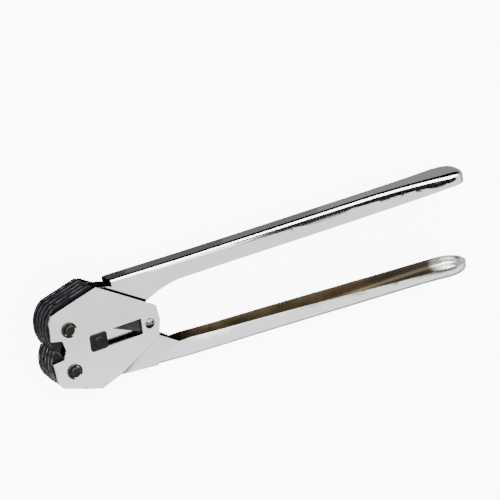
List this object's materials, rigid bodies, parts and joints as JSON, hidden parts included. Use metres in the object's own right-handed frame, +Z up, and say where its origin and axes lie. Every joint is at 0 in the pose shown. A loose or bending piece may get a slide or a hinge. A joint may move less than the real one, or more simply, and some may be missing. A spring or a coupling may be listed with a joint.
{
  "type": "strapping sealer hand tool",
  "caption": "Front-action hand crimper for strapping seals: laminated black jaws between side plates, toggle linkage, two long pressed channel handles.",
  "frame": {"origin": "axis of the rear rivet, on the flat end of its far-side head, with the tool lying on its side", "axes": "+X from the jaws towards the handle ends, +Y towards the upper handle, +Z up, square to the side plates"},
  "size_m": [0.3513, 0.0889, 0.0299],
  "materials": {
    "plated_shell": "satin nickel-chrome plate on pressed sheet",
    "bright_chrome": "bright chrome plate",
    "rivet_chrome": "bright domed head",
    "black_jaw_steel": "black oxide on hardened steel",
    "dark_notcher_steel": "dark oiled steel",
    "dark_block_steel": "black oxide, worn edges",
    "black_pin_steel": "black oxide",
    "dark_link_steel": "dark plain steel"
  },
  "bodies": {
    "frame": {"lower_handle": "plated_shell", "upper_jaw_pin": "black_pin_steel", "lower_jaw_pin": "black_pin_steel", "upper_e_clip": "black_pin_steel", "lower_e_clip": "black_pin_steel", "spacer_tube": "dark_link_steel", "rear_rivet": "rivet_chrome", "strap_stop": "dark_link_steel"},
    "slide": {"far_slide_block": "dark_block_steel", "near_slide_block": "dark_block_steel", "centre_pin": "dark_block_steel"},
    "handle": {"upper_handle": "bright_chrome", "drive_pin": "dark_link_steel"},
    "drive_links": {"far_drive_link": "dark_link_steel", "near_drive_link": "dark_link_steel"},
    "upper_jaw": {"upper_jaw_plate_1": "black_jaw_steel", "upper_jaw_plate_2": "black_jaw_steel", "upper_jaw_plate_3": "black_jaw_steel", "upper_jaw_plate_4": "black_jaw_steel", "upper_jaw_plate_5": "black_jaw_steel", "upper_notcher_1": "dark_notcher_steel", "upper_notcher_2": "dark_notcher_steel", "upper_notcher_3": "dark_notcher_steel", "upper_notcher_4": "dark_notcher_steel", "upper_stack_rivet": "dark_link_steel", "upper_tail_pin": "dark_link_steel"},
    "lower_jaw": {"lower_jaw_plate_1": "black_jaw_steel", "lower_jaw_plate_2": "black_jaw_steel", "lower_jaw_plate_3": "black_jaw_steel", "lower_jaw_plate_4": "black_jaw_steel", "lower_jaw_plate_5": "black_jaw_steel", "lower_notcher_1": "dark_notcher_steel", "lower_notcher_2": "dark_notcher_steel", "lower_notcher_3": "dark_notcher_steel", "lower_notcher_4": "dark_notcher_steel", "lower_stack_rivet": "dark_link_steel", "lower_tail_pin": "dark_link_steel"},
    "upper_toggle": {"upper_toggle_1": "dark_link_steel"},
    "lower_toggle": {"lower_toggle_1": "dark_link_steel", "lower_toggle_2": "dark_link_steel"}
  },
  "joints": [
    {"name": "handle_swing", "type": "hinge", "parent": "slide", "child": "handle", "pos_m": [-0.042, 0, 0.0146], "axis": [0, 0, 1], "range_deg": [0, 60]},
    {"name": "slide_travel", "type": "slide", "parent": "frame", "child": "slide", "axis": [1, 0, 0], "range_m": [0, 0.0201]},
    {"name": "drive_link_swing", "type": "hinge", "parent": "frame", "child": "drive_links", "pos_m": [0, 0, 0.0146], "axis": [0, 0, 1], "range_deg": [-16.1, 0]},
    {"name": "upper_jaw_swing", "type": "hinge", "parent": "frame", "child": "upper_jaw", "pos_m": [-0.064, 0.016, 0.0146], "axis": [0, 0, 1], "range_deg": [-38.1, 0]},
    {"name": "lower_jaw_swing", "type": "hinge", "parent": "frame", "child": "lower_jaw", "pos_m": [-0.064, -0.016, 0.0146], "axis": [0, 0, 1], "range_deg": [0, 38.1]},
    {"name": "upper_toggle_swing", "type": "hinge", "parent": "slide", "child": "upper_toggle", "pos_m": [-0.042, 0, 0.0146], "axis": [0, 0, 1], "range_deg": [0, 29.6]},
    {"name": "lower_toggle_swing", "type": "hinge", "parent": "slide", "child": "lower_toggle", "pos_m": [-0.042, 0, 0.0146], "axis": [0, 0, 1], "range_deg": [-29.6, 0]}
  ],
  "couplings": [
    {"joint": "slide_travel", "follows": "handle_swing", "m_per_rad": 0.019099},
    {"joint": "drive_link_swing", "follows": "handle_swing", "ratio": -0.26667},
    {"joint": "upper_jaw_swing", "follows": "handle_swing", "ratio": -0.63333},
    {"joint": "lower_jaw_swing", "follows": "handle_swing", "ratio": 0.63333},
    {"joint": "upper_toggle_swing", "follows": "handle_swing", "ratio": 0.49167},
    {"joint": "lower_toggle_swing", "follows": "handle_swing", "ratio": -0.49167}
  ]
}
